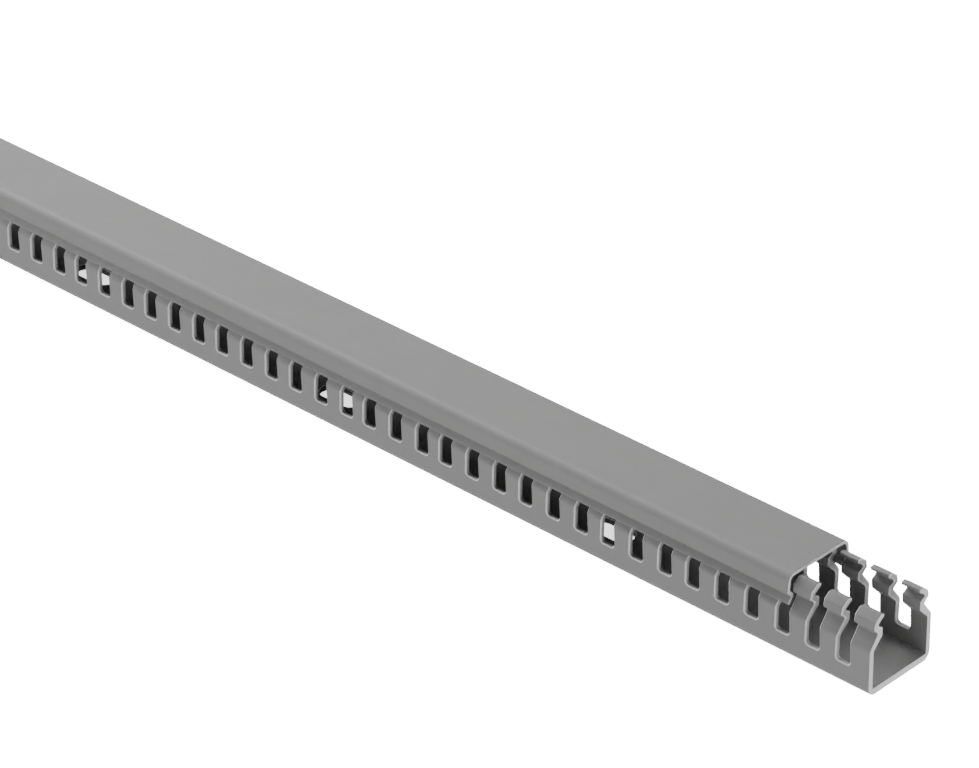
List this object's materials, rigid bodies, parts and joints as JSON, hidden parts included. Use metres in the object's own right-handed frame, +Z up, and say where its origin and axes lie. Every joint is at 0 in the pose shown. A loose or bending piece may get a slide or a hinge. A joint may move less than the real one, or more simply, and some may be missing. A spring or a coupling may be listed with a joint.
{
  "type": "slotted wire duct",
  "caption": "Slotted wire duct: U-shaped plastic channel with S-shaped finger walls and a clip-over cover that slides along the fingers.",
  "frame": {"origin": "middle of the channel's underside, half way along the channel", "axes": "+X along the duct towards the end where the cover is set back, +Y across it, +Z up through the cover"},
  "size_m": [0.5277, 0.025, 0.0252],
  "materials": {
    "channel_pvc": "extruded rigid PVC, mid grey, satin",
    "cover_pvc": "extruded rigid PVC, mid grey, satin"
  },
  "bodies": {
    "channel": {"slotted_channel": "channel_pvc"},
    "cover": {"duct_cover": "cover_pvc"}
  },
  "joints": [
    {"name": "cover_slide", "type": "slide", "parent": "channel", "child": "cover", "axis": [1, 0, 0], "range_m": [-0.2223, 0.2777]}
  ]
}
